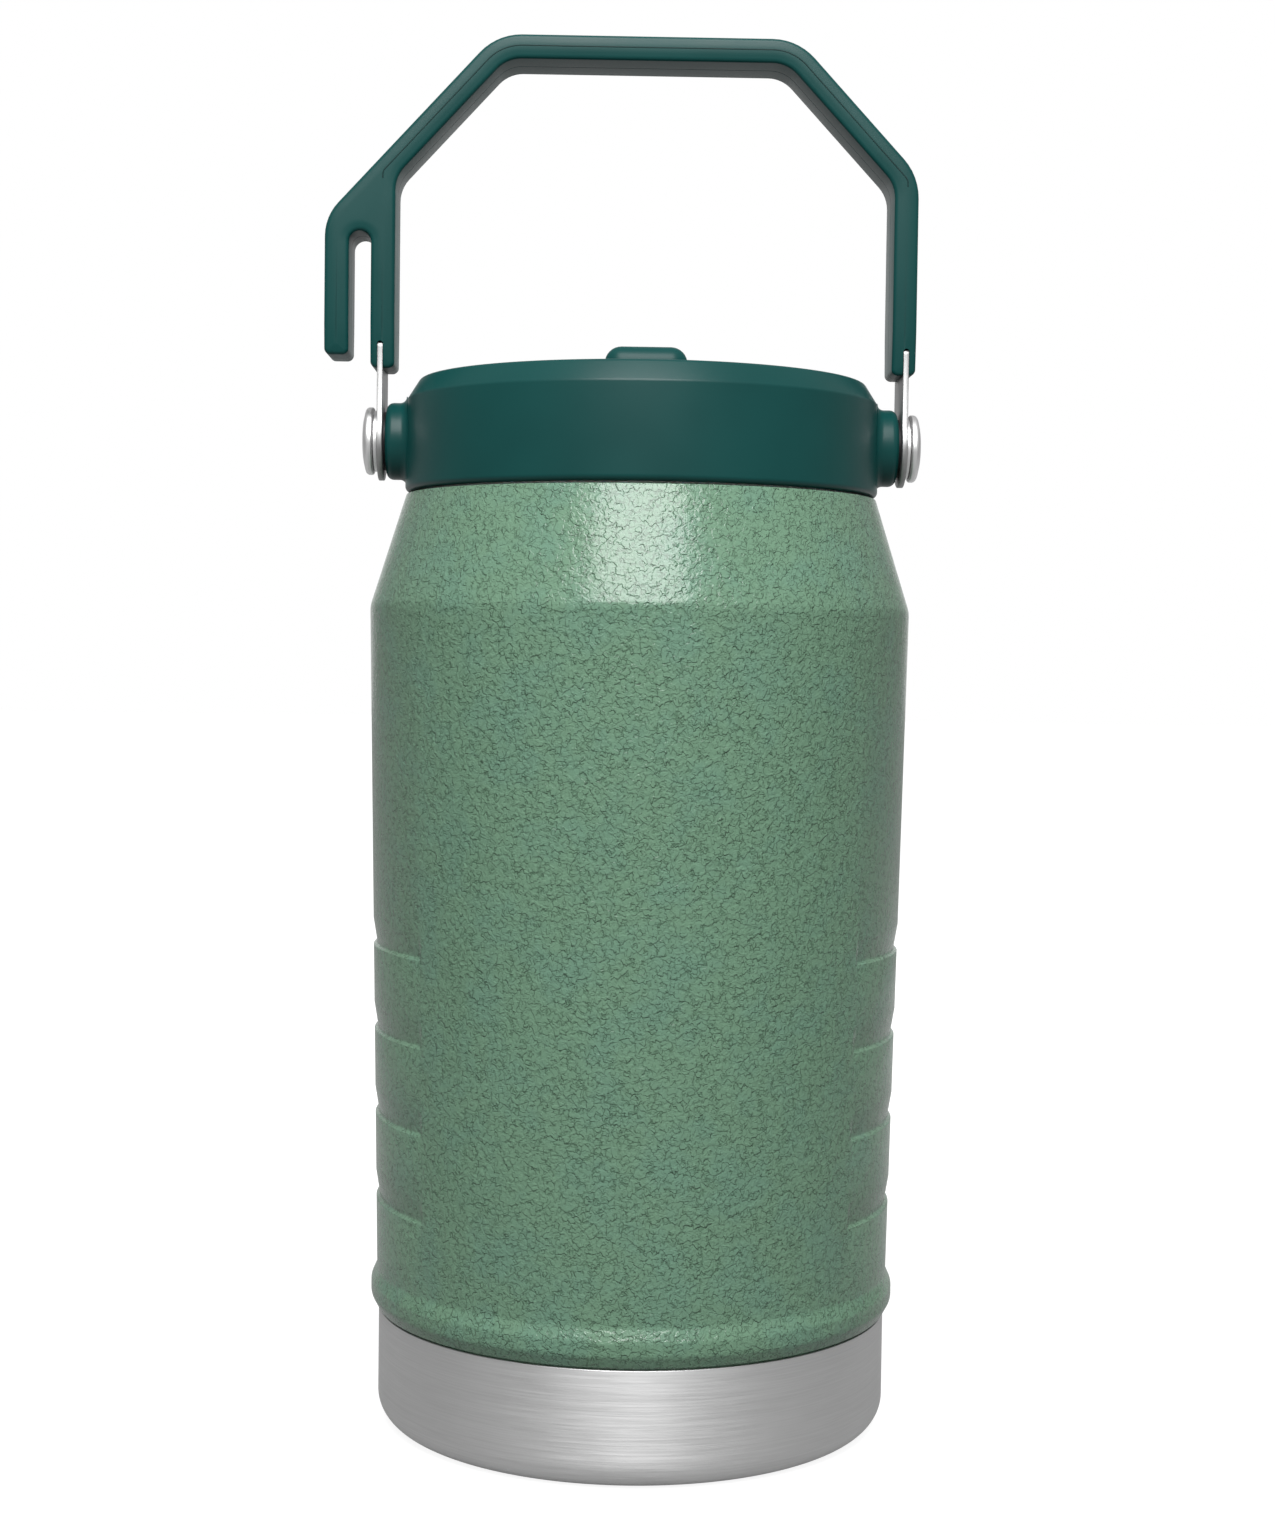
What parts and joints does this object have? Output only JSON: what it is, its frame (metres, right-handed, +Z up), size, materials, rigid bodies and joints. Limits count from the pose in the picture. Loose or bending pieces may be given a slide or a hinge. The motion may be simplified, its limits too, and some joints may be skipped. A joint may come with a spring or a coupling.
{
  "type": "vacuum flask",
  "caption": "Insulated steel drinking jug with a screw lid, a flip-up straw spout and a swinging carry bail with a fence hook.",
  "frame": {"origin": "centre of the standing ring under the base, on the jug's axis", "axes": "+Z up along the jug's axis; X along the bail's pivot axis with the fence hook on -X; the closed spout's tip points to -Y"},
  "size_m": [0.1351, 0.1226, 0.3132],
  "materials": {
    "painted_shell": "hammertone powder coat, satin",
    "base_steel": "brushed around the axis",
    "liner_steel": "satin, electropolished",
    "inner_sheet": "plain mill finish",
    "braze": "dull solder button",
    "getter_metal": "sintered, matt grey",
    "lid_plastic": "fine matt texture",
    "plug_plastic": "plain moulded",
    "spout_plastic": "satin",
    "grip_plastic": "fine matt texture",
    "strap_steel": "brushed along its length",
    "screw_steel": "polished",
    "washer_plastic": "black acetal",
    "bush_brass": "turned",
    "seal_silicone": "milky silicone",
    "straw_plastic": "translucent"
  },
  "bodies": {
    "flask": {"outer_shell": "painted_shell", "base_cup": "base_steel", "shell_floor": "inner_sheet", "vacuum_seal": "braze", "inner_liner": "liner_steel", "liner_bottom": "liner_steel", "getter": "getter_metal"},
    "lid_seal": {"lid_gasket": "seal_silicone"},
    "lid": {"lid_shell": "lid_plastic", "lid_plug": "plug_plastic", "vent_valve": "seal_silicone", "spout_pins": "screw_steel", "spout_seal": "seal_silicone", "straw_sleeve": "seal_silicone", "straw": "straw_plastic", "pivot_bush_left": "bush_brass", "pivot_bush_right": "bush_brass", "inner_washer_left": "washer_plastic", "inner_washer_right": "washer_plastic", "outer_washer_left": "screw_steel", "outer_washer_right": "screw_steel", "pivot_screw_left": "screw_steel", "pivot_screw_right": "screw_steel"},
    "bail": {"bail_strap": "strap_steel", "bail_grip": "grip_plastic"},
    "flip_spout": {"spout": "spout_plastic"}
  },
  "joints": [
    {"name": "lid_lift", "type": "slide", "parent": "flask", "child": "lid_seal", "axis": [0, 0, 1], "range_m": [0, 0.009]},
    {"name": "lid_turn", "type": "hinge", "parent": "lid_seal", "child": "lid", "pos_m": [0, 0, 0.2106], "axis": [0, 0, 1], "range_deg": [0, 540]},
    {"name": "bail_swing", "type": "hinge", "parent": "lid", "child": "bail", "pos_m": [0, 0, 0.2228], "axis": [1, 0, 0], "range_deg": [-128, 128]},
    {"name": "spout_flip", "type": "hinge", "parent": "lid", "child": "flip_spout", "pos_m": [0, 0.014, 0.2343], "axis": [-1, 0, 0], "range_deg": [0, 90]}
  ],
  "couplings": [
    {"joint": "lid_lift", "follows": "lid_turn", "m_per_rad": 0.00095492}
  ]
}
